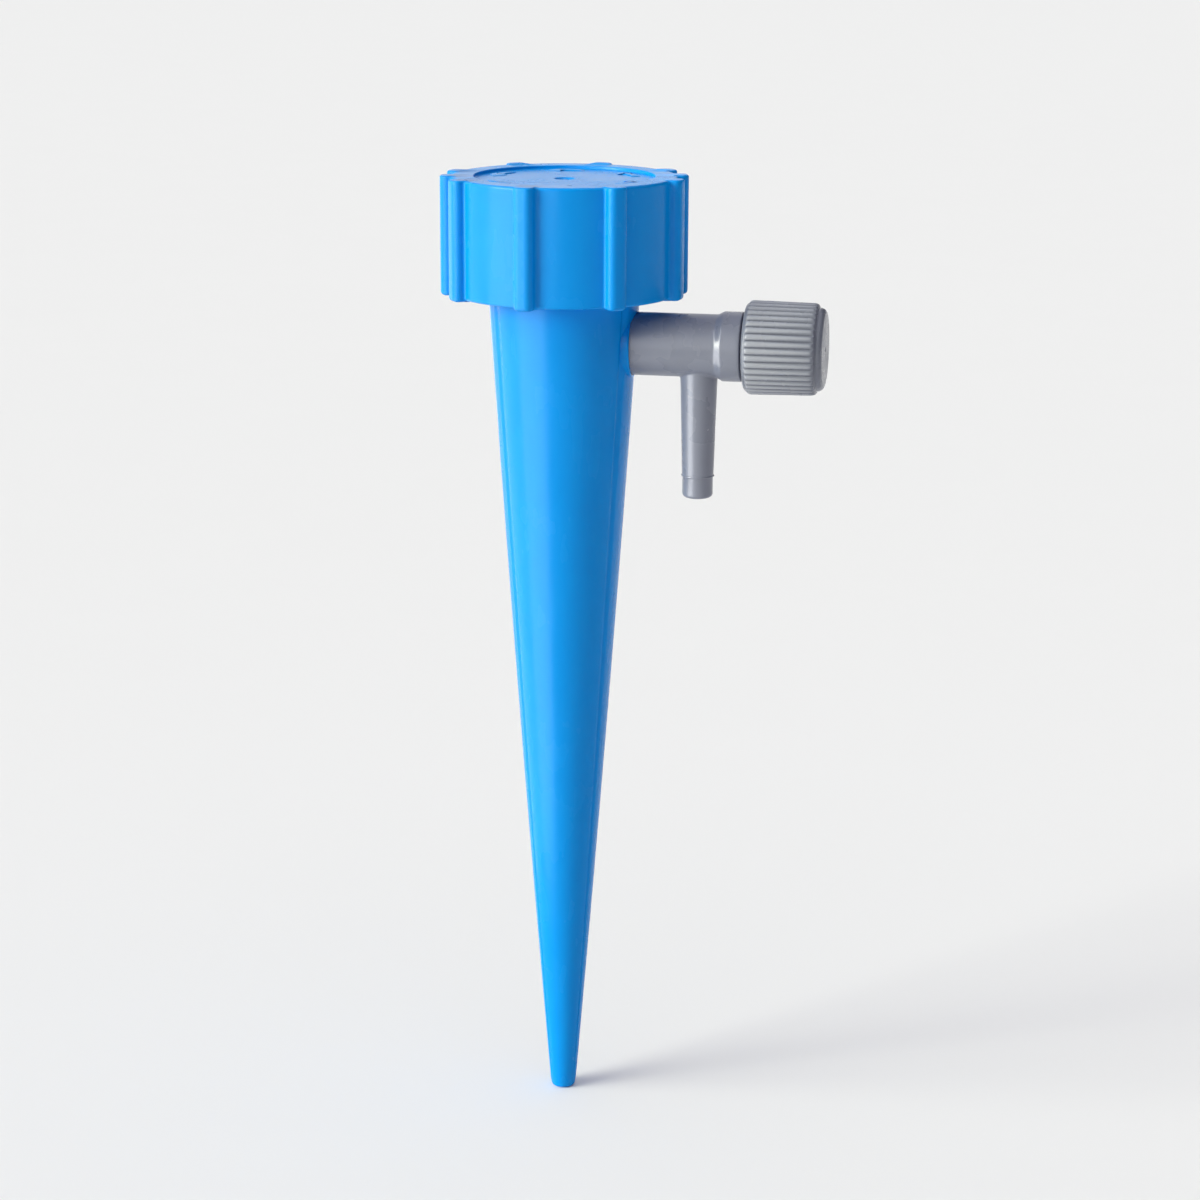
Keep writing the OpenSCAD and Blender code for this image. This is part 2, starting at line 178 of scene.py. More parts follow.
# Nozzle's rounded end, the flare of its root, and its parting ring with the flash at the mould's seams
NOZZLE_ROUNDING = 0.7
NOZZLE_FLARE = 0.3
NOZZLE_RING_R = (NOZZLE_TOP_R + 6 * NOZZLE_END_R) / 7
RING_PROUD = 0.07
FLASH_PROUD = 0.09
NOZZLE_STEPS = 96

# Knob
KNOB_X = NECK_X + 0.3
KNOB_R = 7.15
CORE_R = 6.81
CORE_EDGE_R = 0.7
RIDGES = 40
RIDGE_END_L = 0.8
KNOB_DRAFT = 0.18
MOUTH_RIM_L = 0.5
GRIP_END_X = KNOB_X + 11
KNOB_END_X = GRIP_END_X + 1.1
KNOB_FLOOR_X = KNOB_END_X - 2.1
KNOB_BORE_R = NECK_R + 0.7
KNOB_THREAD_X = KNOB_X + 1.35
DISC_R = 6.3
DISC_EDGE_R = 0.95
DIMPLE_DEPTH = 0.16

# Needle and rings
RING_SQUEEZE_ROOM = 0.02
RING_SIDE_ROOM = 0.1
PORT_RING_R = 0.48
NEEDLE_RING_R = 0.45
GUIDE_X = NOZZLE_X + OUTLET_R + 1.2
GUIDE_R = CHAMBER_R - 0.08
NEEDLE_RING_X = GUIDE_X + 1.2 + NEEDLE_RING_R + RING_SIDE_ROOM
NEEDLE_X = CHAMBER_X - SEAT_CONE_L + 0.03
NEEDLE_R = ORIFICE_R - 0.08
POINT_R = 0.3
POINT_L = 1.5
STEM_R = 1.3
STEM_EDGE = 0.1
PIN_R = 1.8
PIN_L = 1.2

# Washer and liner
WASHER_BORE_R = HOLLOW_R - 0.4
WASHER_EDGE_R = 0.12
LINER_R = CAP_BORE_R - 0.2
LINER_EDGE_R = 0.15


def smooth(t):
    """Eases a share from 0 to 1."""
    t = min(1, max(0, t))
    return t * t * (3 - 2 * t)


def arc(x, y, r, start, end, steps=6):
    """Points of a rounded corner, from one angle to another in degrees."""
    turns = [radians(start + (end - start) * i / steps) for i in range(steps + 1)]
    return [(x + r * cos(t), y + r * sin(t)) for t in turns]


def along(low, high, steps):
    """Even steps from low to high, both ends included."""
    return [low + (high - low) * i / steps for i in range(steps + 1)]


def edge_loop(bm, verts):
    """The edges round a ring of points."""
    return [bm.edges.get(pair) or bm.edges.new(pair) for pair in zip(verts, verts[1:] + verts[:1])]


def loft(bm, rings):
    """Draws a skin through closed rings of points, by extruding the last ring and moving it to the next."""
    ring = [bm.verts.new(p) for p in rings[0]]
    start = ring
    for places in rings[1:]:
        grown = bmesh.ops.extrude_edge_only(bm, edges=edge_loop(bm, ring))["geom"]
        fresh = {e for e in grown if isinstance(e, bmesh.types.BMVert)}
        ring = [next(w for e in v.link_edges for w in [e.other_vert(v)] if w in fresh) for v in ring]
        for v, p in zip(ring, places):
            v.co = p
    return start, ring


def cap_ends(bm, *rings):
    """Closes the ends of a skin with one face each."""
    for ring in rings:
        bmesh.ops.contextual_create(bm, geom=ring)


def revolve(bm, outline, steps, closed=False):
    """Spins an outline of (radius, height) points round the Z axis."""
    verts = [bm.verts.new((r, 0, z)) for r, z in outline]
    pairs = list(zip(verts, verts[1:])) + ([(verts[-1], verts[0])] if closed else [])
    edges = [bm.edges.new(pair) for pair in pairs]
    bmesh.ops.spin(
        bm, geom=verts + edges, cent=(0, 0, 0), axis=(0, 0, 1), angle=2 * pi, steps=steps, use_merge=True
    )
    bmesh.ops.remove_doubles(bm, verts=bm.verts, dist=WELD)


def lay_along_valve(bm):
    """Turns a shape drawn round the Z axis so that it lies round the valve's axis."""
    place = Matrix.Translation((0, 0, VALVE_Z)) @ Matrix.Rotation(pi / 2, 4, "Y")
    bmesh.ops.transform(bm, matrix=place, verts=bm.verts)


def thread(bm, wall_r, form, low, start=0, side=1):
    """One helical ridge round the Z axis, which rises out of its wall and sinks back into it.

    Side is 1 for a ridge outside its wall and -1 for one inside.
    """
    height, root_w, crest_w, lead, turns = form
    crest_r = wall_r + side * height
    sunk_r = wall_r - side * height * THREAD_SUNK
    steps = round(turns * THREAD_STEPS)
    rings = []
    for i in range(steps + 1):
        turn = radians(start) + 2 * pi * turns * i / steps
        rise = smooth(turns * min(i, steps - i) / steps / THREAD_RUN_OUT)
        r = sunk_r + (crest_r - sunk_r) * rise
        z = low + lead * turns * i / steps
        outline = [(sunk_r, -root_w / 2), (r, -crest_w / 2), (r, crest_w / 2), (sunk_r, root_w / 2)]
        rings.append([(p * cos(turn), p * sin(turn), z + dz) for p, dz in outline])
    cap_ends(bm, *loft(bm, rings))


def as_object(bm, name):
    """Puts a finished bmesh, in millimetres, into an object at the origin, in metres."""
    bmesh.ops.remove_doubles(bm, verts=bm.verts, dist=WELD)
    bmesh.ops.recalc_face_normals(bm, faces=bm.faces)
    bmesh.ops.scale(bm, vec=(MM, MM, MM), verts=bm.verts)
    mesh = bpy.data.meshes.new(name)
    bm.to_mesh(mesh)
    bm.free()
    piece = bpy.data.objects.new(name, mesh)
    bpy.context.scene.collection.objects.link(piece)
    return piece


def join_shapes(piece, tool, operation):
    """Adds one closed shape to another or cuts it away, and keeps the result as plain mesh."""
    change = piece.modifiers.new("Joined", "BOOLEAN")
    change.operation = operation
    change.solver = "EXACT"
    change.object = tool
    bpy.context.view_layer.update()
    made = bpy.data.meshes.new_from_object(piece.evaluated_get(bpy.context.evaluated_depsgraph_get()))
    piece.modifiers.clear()
    piece.data = made
    bpy.data.objects.remove(tool)


def dress(piece, finish, body, slot, *nodes, crease=35):
    """Shades a piece, gives it its finish and fixes it to its body."""
    piece.data.shade_smooth()
    piece.data.set_sharp_from_angle(angle=radians(crease))
    piece.data.materials.clear()
    piece.data.materials.append(finish)
    weighted = piece.modifiers.new("Flat faces lead", "WEIGHTED_NORMAL")
    weighted.keep_sharp = True
    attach(piece, body)
    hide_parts(*nodes)
    return piece


class Value:
    """A number or colour in a finish, which takes part in sums as Math nodes."""

    def __init__(self, finish, socket):
        self.finish = finish
        self.socket = socket

    def _math(self, operation, *terms):
        return self.finish.node("ShaderNodeMath", {"operation": operation}, *terms)

    def __add__(self, other):
        return self._math("ADD", self, other)

    __radd__ = __add__

    def __mul__(self, other):
        return self._math("MULTIPLY", self, other)

    __rmul__ = __mul__


class Finish:
    """A material and the few steps that its pattern is made with."""

    def __init__(self, name):
        self.material = bpy.data.materials.new(name)
        self.material.use_nodes = True
        self.tree = self.material.node_tree
        self.shader = self.tree.nodes["Principled BSDF"]

    def node(self, kind, settings, *inputs, out=0, **named):
        """Adds a node, sets it up, and gives its sockets their values or links."""
        made = self.tree.nodes.new(kind)
        for key, value in settings.items():
            setattr(made, key, value)
        for place, value in [*enumerate(inputs), *((k.replace("_", " "), v) for k, v in named.items())]:
            if isinstance(value, Value):
                self.tree.links.new(value.socket, made.inputs[place])
            elif value is not None:
                made.inputs[place].default_value = value
        return Value(self, made.outputs[out])

    def place(self, scale=(1, 1, 1)):
        """Where a point lies on the piece, in millimetres, stretched by a scale."""
        spot = self.node("ShaderNodeTexCoord", {}, out="Object")
        grown = tuple(s / MM for s in scale)
        return self.node("ShaderNodeMapping", {}, Vector=spot, Scale=grown)

    def noise(self, size, stretch=(1, 1, 1), detail=2, roughness=0.5):
        """Soft cloudy pattern with features of about that size in millimetres."""
        spot = self.place(stretch)
        return self.node(
            "ShaderNodeTexNoise", {}, Vector=spot, Scale=1 / size, Detail=detail, Roughness=roughness
        )

    def valve_radius(self):
        """Distance from the valve's axis, in millimetres."""
        spot = self.place((0, 1, 1))
        middle = (0, 0, VALVE_Z)
        return self.node("ShaderNodeVectorMath", {"operation": "DISTANCE"}, spot, middle, out="Value")

    def spread(self, value, low, high, to_low, to_high):
        """Stretches one range of values over another, held at its ends."""
        eased = {"interpolation_type": "SMOOTHSTEP"}
        return self.node("ShaderNodeMapRange", eased, value, low, high, to_low, to_high)

    def mix(self, share, one, other):
        """Blends two colours."""
        made = self.tree.nodes.new("ShaderNodeMix")
        made.data_type = "RGBA"
        for place, value in ((0, share), (6, one), (7, other)):
            if isinstance(value, Value):
                self.tree.links.new(value.socket, made.inputs[place])
            else:
                made.inputs[place].default_value = value
        return Value(self, made.outputs[2])

    def feed(self, **sockets):
        """Sets or links the shader's own sockets."""
        for key, value in sockets.items():
            place = self.shader.inputs[key.replace("_", " ")]
            if isinstance(value, Value):
                self.tree.links.new(value.socket, place)
            else:
                place.default_value = value

    def bump(self, height, depth, strength=1):
        """Small relief, of a depth in millimetres."""
        relief = self.node("ShaderNodeBump", {}, Strength=strength, Distance=depth * MM, Height=height)
        self.feed(Normal=relief)


def blue_plastic():
    """Satin gloss polypropylene, slightly milky, with faint flow marks."""
    deep = (0.0, 0.256, 0.735, 1)
    bright = (0.0, 0.280, 0.775, 1)
    streak = (0.005, 0.34, 0.80, 1)
    f = Finish("Blue polypropylene")
    clouds = f.noise(9, detail=3)
    flow = f.noise(2.2, stretch=(1, 1, 0.18), detail=2)
    fine = f.noise(0.35, detail=3)
    body = f.mix(clouds, deep, bright)
    f.feed(Base_Color=f.mix(f.spread(flow, 0.42, 0.75, 0, 0.10), body, streak))
    f.feed(Roughness=f.spread(clouds + flow * 0.6, 0.5, 1.1, 0.20, 0.30))
    f.bump(fine * 0.35 + flow, 0.02, 0.35)
    f.feed(Subsurface_Weight=0.1, Subsurface_Scale=0.0008, Subsurface_Radius=(0.2, 0.7, 1.0))
    f.feed(IOR=1.49, Specular_IOR_Level=0.12)
    return f.material


def grey_plastic(name, knob_painted_crests):
    """Satin grey polypropylene with fine pale specks. On the knob, the ridges' crests are painted paler as a
    painted highlight.
    """
    deep = (0.173, 0.184, 0.226, 1) if knob_painted_crests else (0.192, 0.204, 0.259, 1)
    bright = (0.193, 0.204, 0.248, 1) if knob_painted_crests else (0.217, 0.230, 0.290, 1)
    # Paler colour painted on the knob's ridge crests: a painted highlight
    crest = (0.337, 0.350, 0.396, 1)
    speck = (0.55, 0.58, 0.62, 1)
    f = Finish(name)
    clouds = f.noise(5, detail=3)
    specks = f.noise(0.55, detail=1)
    fine = f.noise(0.3, detail=3)
    body = f.mix(clouds, deep, bright)
    # Painted highlight: on the knob, the crests of the ridges are made paler where light would catch them
    if knob_painted_crests:
        crest_highlight_mask = f.spread(f.valve_radius(), CORE_R + 0.05, KNOB_R - 0.08, 0, 1)
        body = f.mix(crest_highlight_mask, body, crest)
        f.feed(Specular_IOR_Level=0.3)
    f.feed(Base_Color=f.mix(f.spread(specks, 0.79, 0.83, 0, 0.6), body, speck))
    f.feed(Roughness=f.spread(clouds, 0.3, 0.7, 0.24, 0.34))
    f.bump(fine, 0.01, 0.4)
    f.feed(IOR=1.49)
    return f.material


def seal_rubber():
    """Dull black moulded rubber."""
    f = Finish("Seal rubber")
    clouds = f.noise(1.5, detail=3)
    f.feed(Base_Color=f.mix(clouds, (0.012, 0.012, 0.013, 1), (0.03, 0.03, 0.032, 1)))
    f.feed(Roughness=f.spread(clouds, 0.3, 0.7, 0.55, 0.75))
    f.bump(f.noise(0.2, detail=3), 0.01, 0.5)
    return f.material


def liner_foam():
    """White closed-cell foam sheet."""
    f = Finish("Liner foam")
    cells = f.node("ShaderNodeTexVoronoi", {}, Vector=f.place(), Scale=3, out="Distance")
    f.feed(Base_Color=f.mix(cells, (0.80, 0.80, 0.77, 1), (0.88, 0.88, 0.86, 1)))
    f.feed(Roughness=f.spread(cells, 0, 0.6, 0.6, 0.85))
    f.bump(cells, 0.05, 0.5)
    return f.material


BLUE = blue_plastic()
GREY = grey_plastic("Grey polypropylene", False)
# The knob's grey carries a painted highlight on its ridges' crests
KNOB_GREY = grey_plastic("Grey polypropylene, handled", True)
RUBBER = seal_rubber()
FOAM = liner_foam()


def groove_depth(turn):
    """How far the stake's skin lies in, at an angle in degrees round its axis."""
    deepest = 0
    for middle, before, after in GROOVES:
        off = (turn - middle + 180) % 360 - 180
        reach = before if off < 0 else after
        deepest = max(deepest, smooth(1 - abs(off) / reach))
    return GROOVE_DEPTH * deepest


def stake_outline():
    """From the middle of the tip up the outside, over the cup's rim and down the hollow."""
    edge = CUP_EDGE_R
    washer_top_z = FLOOR_Z + WASHER_T
    recess_r = WASHER_R + WASHER_GAP
    return [
        (0, 0),
        *arc(TIP_R - TIP_EDGE_R, TIP_EDGE_R, TIP_EDGE_R, -90, 0),
        *[(taper_r(z), z) for z in along(SKIN_START_Z, BLEND_Z - 1, 52)],
        *arc(SHOULDER_R + BLEND_R, BLEND_Z, BLEND_R, 180, 90),
        *arc(CUP_R - edge, STAKE_H + edge, edge, -90, 0, 4),
        *arc(CUP_R - edge, RIM_Z - edge, edge, 0, 90, 4),
        *arc(SOCKET_R + edge, RIM_Z - edge, edge, 90, 180, 4),
        (SOCKET_R, washer_top_z),
        (recess_r, washer_top_z),
        (recess_r, FLOOR_Z),
        (HOLLOW_R, FLOOR_Z),
        *[(taper_r(z) - STAKE_WALL, z) for z in along(STAKE_H, TIP_SOLID_H, 16)],
        (0, TIP_SOLID_H),
    ]


def press_grooves(bm):
    """Presses the mould's grooves into the outside of the taper. They fade out at both ends."""
    for v in bm.verts:
        r = v.co.to_2d().length
        if TIP_EDGE_R < v.co.z < BLEND_Z and r > taper_r(v.co.z) - 0.01:
            low_fade = smooth((v.co.z - TIP_EDGE_R) / GROOVE_FADE_LOW)
            high_fade = smooth((BLEND_Z - v.co.z) / GROOVE_FADE_HIGH)
            depth = groove_depth(degrees(atan2(v.co.y, v.co.x))) * min(low_fade, high_fade)
            share = 1 - depth * sqrt(r / SHOULDER_R) / r
            v.co.x *= share
            v.co.y *= share


def seat_valve(piece):
    """Adds the boss and the pad that hold the valve, and bores the stepped hole through them."""
    hole_r = BARREL_R + PLUG_FIT
    boss_r = hole_r + BOSS_WALL
    pad_r = hole_r + PAD_WALL
    pad_x = taper_r(VALVE_Z) - PAD_DROP
    middle_x = SEAT_X + 0.5
    pad_edge = arc(pad_r - PAD_EDGE, pad_x - PAD_EDGE, PAD_EDGE, 0, 90, 4)
    inner = [(0, BOSS_END_X), (boss_r, BOSS_END_X), (boss_r, middle_x), (pad_r, middle_x)]
    boss = bmesh.new()
    revolve(boss, [*inner, *pad_edge, (0, pad_x)], 120)
    lay_along_valve(boss)
    join_shapes(piece, as_object(boss, "Boss"), "UNION")
    plug_r = SPIGOT_R + PLUG_FIT
    low_x = BOSS_END_X - 1
    high_x = SEAT_X + 5
    narrow = [(0, low_x), (plug_r, low_x), (plug_r, SEAT_X)]
    wide = [(hole_r, SEAT_X), (hole_r, high_x), (0, high_x)]
    hole = bmesh.new()
    revolve(hole, narrow + wide, 120)
    lay_along_valve(hole)
    join_shapes(piece, as_object(hole, "Hole"), "DIFFERENCE")


def stake():
    """Hollow taper with its cup, grooves, bottle thread and cap thread."""
    bm = bmesh.new()
    revolve(bm, stake_outline(), 360)
    press_grooves(bm)
    piece = as_object(bm, "Stake")
    seat_valve(piece)
    rest = bmesh.new()
    rest.from_mesh(piece.data)
    bmesh.ops.scale(rest, vec=(1 / MM, 1 / MM, 1 / MM), verts=rest.verts)
    for start in (0, 180):
        thread(rest, CUP_R, CAP_THREAD, CUP_THREAD_Z, start)
    thread(rest, SOCKET_R, BOTTLE_THREAD, BOTTLE_THREAD_Z, side=-1)
    bmesh.ops.scale(rest, vec=(MM, MM, MM), verts=rest.verts)
    bmesh.ops.recalc_face_normals(rest, faces=rest.faces)
    rest.to_mesh(piece.data)
    rest.free()
    return dress(piece, BLUE, "stake", "blue_plastic", "stake_body")


def half_rib(inset, skirt_r):
    """Half of a rib seen from above, from its middle to its root on the skirt."""
    half = RIB_W / 2 - inset
    out = SKIRT_R + RIB_PROUD - inset
    edge = max(RIB_EDGE_R - inset, 0.2)
    root_y = half + RIB_ROOT_R
    foot = sqrt(skirt_r**2 - root_y**2)
    crown = [(out, y) for y in along(0, half - edge, 3)]
    corner = arc(out - edge, half - edge, edge, 0, 90, 7)
    side = [(out - edge + (foot + RIB_ROOT_R - out + edge) * s, half) for s in (0.33, 0.67)]
    return crown[:-1] + corner + side + arc(foot + RIB_ROOT_R, root_y, RIB_ROOT_R, 270, 180, ROOT_STEPS)


HALF_RIB_POINTS = len(half_rib(0, SKIRT_R))
SEAM_RIBS = [RIB_PITCH / 2, RIB_PITCH / 2 + 180]
RIB_TURNS = sorted([i * RIB_PITCH for i in range(RIB_COUNT)] + SEAM_RIBS)
GAPS = [(FIRST_RIB + a, b - a) for a, b in zip(RIB_TURNS, RIB_TURNS[1:] + [360])]


def cap_ring(half, r, z_rib, z_skirt):
    """A whole ring of the cap: for each gap half a rib, a stretch of skirt and the next rib's half."""
    last = len(half) - 1
    eased = [smooth((i - last + ROOT_STEPS) / ROOT_STEPS) for i in range(last + 1)]
    near = [Vector((x, y, z_rib + (z_skirt - z_rib) * share)) for (x, y), share in zip(half, eased)]
    foot = atan2(half[-1][1], half[-1][0])
    ring = []
    for start, span in GAPS:
        turns = along(foot, radians(span) - foot, 18 if span > 30 else 6)[1:-1]
        skirt = [Vector((r * cos(t), r * sin(t), z_skirt)) for t in turns]
        flip = Matrix.Rotation(radians(span), 3, "Z") @ Matrix.Diagonal((1, -1, 1))
        place = Matrix.Rotation(radians(start), 3, "Z")
        ring += [place @ v for v in near + skirt + [flip @ v for v in reversed(near[1:])]]
    return ring


def round_ring(r, z, z_rib=None):
    """A round ring of the cap, which may have its own height over the ribs."""
    reach = asin(min(0.16, (RIB_W / 2 + RIB_ROOT_R) / max(r, MM)))
    turns = along(0, reach, HALF_RIB_POINTS - 1)
    return cap_ring([(r * cos(t), r * sin(t)) for t in turns], r, z if z_rib is None else z_rib, z)


def ribbed_ring(inset, skirt_r, z_rib, z_skirt):
    """A ring of the cap that follows its ribs."""
    return cap_ring(half_rib(inset, skirt_r), skirt_r, z_rib, z_skirt)


def turn_mark(bm, middle):
    """A plain raised arrow bent round the cap's axis, which shows the way to turn."""
    start = middle - MARK_REACH / 2
    point = middle + MARK_REACH / 2
    neck = point - MARK_REACH * MARK_HEAD
    half_shaft = MARK_W * MARK_SHAFT / 2
    outer = [(MARK_R + half_shaft, t) for t in along(start, neck, 6)]
    inner = [(MARK_R - half_shaft, t) for _, t in reversed(outer)]
    tip = [(MARK_R + MARK_W / 2, neck), (MARK_R, point), (MARK_R - MARK_W / 2, neck)]
    high = RECESS_Z + MARK_H
    rings = []
    for z, share in ((RECESS_Z - SINK, 1), (high - 0.16, 0.97), (high - 0.07, 0.78), (high, 0.4)):
        centre = Vector((MARK_R * cos(radians(middle)), MARK_R * sin(radians(middle)), z))
        flat = [Vector((p * cos(radians(t)), p * sin(radians(t)), z)) for p, t in outer + tip + inner]
        rings.append([centre + (v - centre) * share for v in flat])
    cap_ends(bm, *loft(bm, rings))


def cap_inside():
    """Outline of the cap's inside, from the middle of its ceiling to its mouth."""
    corner = arc(CAP_BORE_R - 0.3, CAP_CEILING_Z - 0.3, 0.3, 0, 90, 4)
    return [
        (0, CAP_CEILING_Z),
        (CAP_BORE_R - 2, CAP_CEILING_Z),
        *reversed(corner),
        *[(CAP_BORE_R, z) for z in along(CAP_CEILING_Z - 1, CAP_BASE_Z + LEAD_IN, 6)],
        (CAP_BORE_R + LEAD_IN, CAP_BASE_Z),
    ]


def cap_edge(rib_r, rib_z, skirt_z, start, end):
    """Rings round an edge of the cap, where ribs and skirt are each rounded about their own height."""
    rings = []
    for turn in along(start, end, 6):
        t = radians(turn)
        inset = rib_r * (1 - cos(t))
        skirt_r = SKIRT_R - CAP_EDGE_R * (1 - cos(t))
        rings.append(ribbed_ring(inset, skirt_r, rib_z + rib_r * sin(t), skirt_z + CAP_EDGE_R * sin(t)))
    return rings


def cap_top():
    """Outline of the cap's top, from the rim into the recess and down the gate mark in its middle."""
    gate_z = RECESS_Z - GATE_DEPTH
    return [
        *arc(RECESS_R + 0.2, CAP_TOP_Z - 0.2, 0.2, 90, 180, 4),
        *arc(RECESS_R - 0.15, RECESS_Z + 0.15, 0.15, 0, -90, 3),
        *[(r, RECESS_Z) for r in (12.6, 10, 7, 4, 2.4, GATE_R + 0.35)],
        (GATE_R + 0.12, RECESS_Z + 0.03),
        (GATE_R, RECESS_Z),
        (GATE_R - 0.12, RECESS_Z - 0.12),
        (GATE_R - 0.3, gate_z),
        (0.62, gate_z),
        (0.5, RECESS_Z - 0.22),
        (0.42, RECESS_Z - 0.12),
        (0.3, RECESS_Z - 0.1),
        (0, RECESS_Z - 0.1),
    ]


def screw_cap():
    """Ribbed cap: inside, mouth, ribbed skirt, rim, recess and gate mark in one skin, with its thread."""
    shelf_r = SKIRT_R - CAP_EDGE_R - 0.25
    rings = [round_ring(r, z) for r, z in cap_inside()]
    rings.append(round_ring(shelf_r - 0.1, CAP_BASE_Z))
    rings.append(round_ring(shelf_r, CAP_BASE_Z, RIB_FOOT_Z))
    rings += cap_edge(RIB_FOOT_R, RIB_FOOT_Z + RIB_FOOT_R, CAP_BASE_Z + CAP_EDGE_R, -90, 0)
    rings += [ribbed_ring(0, SKIRT_R, z, z) for z in along(CAP_BASE_Z + 1.5, CAP_TOP_Z - 1.5, 6)]
    rings += cap_edge(RIB_TOP_R, RIB_TOP_Z - RIB_TOP_R, CAP_TOP_Z - CAP_EDGE_R, 0, 90)
    rings.append(round_ring(shelf_r, CAP_TOP_Z, RIB_TOP_Z))
    rings.append(round_ring(shelf_r - 0.1, CAP_TOP_Z))
    rings += [round_ring(r, z) for r, z in cap_top()]
    bm = bmesh.new()
    loft(bm, rings)
    for start in (90, 270):
        thread(bm, CAP_BORE_R, CAP_THREAD, CAP_THREAD_Z, start, side=-1)
    for i in range(MARK_COUNT):
        turn_mark(bm, FIRST_MARK + i * 360 / MARK_COUNT)
    return dress(as_object(bm, "Screw_cap"), BLUE, "cap", "blue_plastic", "screw_cap", crease=50)


def valve_outline():
    """Closed outline of the valve's turned shape, outside from spigot to neck and back through the bore."""
    ring_l = PORT_RING_R + RING_SIDE_ROOM
    groove_r = SPIGOT_R + PLUG_FIT - 2 * (PORT_RING_R + RING_SQUEEZE_ROOM)
    edge = VALVE_EDGE
    return [
        (INLET_R, SPIGOT_END_X),
        *arc(SPIGOT_R - 0.25, SPIGOT_END_X + 0.25, 0.25, -90, 0, 3),
        (SPIGOT_R, PORT_RING_X - ring_l),
        (groove_r, PORT_RING_X - ring_l),
        (groove_r, PORT_RING_X + ring_l),
        (SPIGOT_R, PORT_RING_X + ring_l),
        (SPIGOT_R, SEAT_X),
        (BARREL_R, SEAT_X),
        *[(BARREL_R, x) for x in along(SEAT_X + 1, STEP_X - 0.3, 36)],
        *arc(BARREL_R + 0.6, STEP_X - 0.2, 0.6, 180, 135, 3)[1:3],
        (COLLAR_R - 0.06, COLLAR_X - 0.14),
        (COLLAR_R - 0.015, COLLAR_X),
        *[(COLLAR_R, x) for x in along(COLLAR_X + 0.2, NECK_X - 0.3, 4)],
        *arc(COLLAR_R - edge, NECK_X - edge, edge, 0, 90, 5)[1:],
        (NECK_R + 0.2, NECK_X),
        (NECK_R, NECK_X + 0.2),
        (NECK_R, NECK_END_X - edge),
        *arc(NECK_R - edge, NECK_END_X - edge, edge, 0, 90, 4)[1:],
        (CHAMBER_R + 0.2, NECK_END_X),
        (CHAMBER_R, NECK_END_X - 0.2),
        *[(CHAMBER_R, x) for x in along(NECK_END_X - 3, CHAMBER_X, 24)],
        (ORIFICE_R + SEAT_CONE_L, CHAMBER_X),
        (ORIFICE_R, CHAMBER_X - SEAT_CONE_L),
        (ORIFICE_R, ORIFICE_X),
        (INLET_R, ORIFICE_X),
    ]


def valve():
    """Valve moulding: spigot, barrel, collar and threaded neck on one axis, and the nozzle under it."""
    bm = bmesh.new()
    revolve(bm, valve_outline(), 144, closed=True)
    lay_along_valve(bm)
    piece = as_object(bm, "Valve_body")
    join_shapes(piece, nozzle(), "UNION")
    low_z = NOZZLE_END_Z - 1
    bore = bmesh.new()
    revolve(bore, [(0, low_z), (OUTLET_R, low_z), (OUTLET_R, VALVE_Z), (0, VALVE_Z)], 48)
    bmesh.ops.translate(bore, vec=(NOZZLE_X, 0, 0), verts=bore.verts)
    join_shapes(piece, as_object(bore, "Bore"), "DIFFERENCE")
    rest = bmesh.new()
    thread(rest, NECK_R, VALVE_THREAD, NECK_THREAD_X)
    lay_along_valve(rest)
    bmesh.ops.scale(rest, vec=(MM, MM, MM), verts=rest.verts)
    bmesh.ops.recalc_face_normals(rest, faces=rest.faces)
    rest.from_mesh(piece.data)
    rest.to_mesh(piece.data)
    rest.free()
    return dress(piece, GREY, "stake", "grey_plastic", "valve_body")


def nozzle_outline():
    """Outline of the nozzle from its rounded end, past its parting ring, to just under the barrel."""
    ring_r, ring_z = NOZZLE_RING_R, NOZZLE_RING_Z
    widening = (NOZZLE_TOP_R - ring_r) / 16
    rounding = NOZZLE_ROUNDING
    return [
        *arc(NOZZLE_END_R - rounding, NOZZLE_END_Z + rounding, rounding, -90, 0, 8),
        (NOZZLE_END_R, ring_z - 0.25),
        (ring_r, ring_z - 0.12),
        (ring_r + RING_PROUD, ring_z),
        (ring_r + RING_PROUD, ring_z + 0.06),
        (ring_r, ring_z + 0.16),
        *[(ring_r + widening * (z - ring_z), z) for z in along(ring_z + 1, VALVE_Z - BARREL_R - 1.6, 24)],
    ]


def nozzle():
    """Drip nozzle, with a flared root that follows the barrel and flash on its parting ring."""
    turns = [2 * pi * i / NOZZLE_STEPS for i in range(NOZZLE_STEPS)]
    rings = [[(0, 0, NOZZLE_END_Z)] * NOZZLE_STEPS]
    for r, z in nozzle_outline():
        flash = FLASH_PROUD if abs(z - NOZZLE_RING_Z) < 0.1 else 0
        grown = [r + flash * smooth(1 - abs(sin(t)) * 6) for t in turns]
        rings.append([(g * cos(t), g * sin(t), z) for g, t in zip(grown, turns)])
    for lift in along(0, 1, 6):
        lean = radians(80 * lift)
        r = NOZZLE_TOP_R + NOZZLE_FLARE * (1 - cos(lean))
        drop = NOZZLE_FLARE * (1 - sin(lean)) - 0.03 * lift
        unders = [sqrt(BARREL_R**2 - (r * sin(t)) ** 2) for t in turns]
        rings.append([(r * cos(t), r * sin(t), VALVE_Z - under - drop) for t, under in zip(turns, unders)])
    inner_z = VALVE_Z - CHAMBER_R - 0.9
    rings.append([(x * 0.9, y * 0.9, inner_z) for x, y, z in rings[-1]])
    rings.append([(0, 0, inner_z)] * NOZZLE_STEPS)
    bm = bmesh.new()
    loft(bm, rings)
    bmesh.ops.translate(bm, vec=(NOZZLE_X, 0, 0), verts=bm.verts)
    return as_object(bm, "Nozzle")


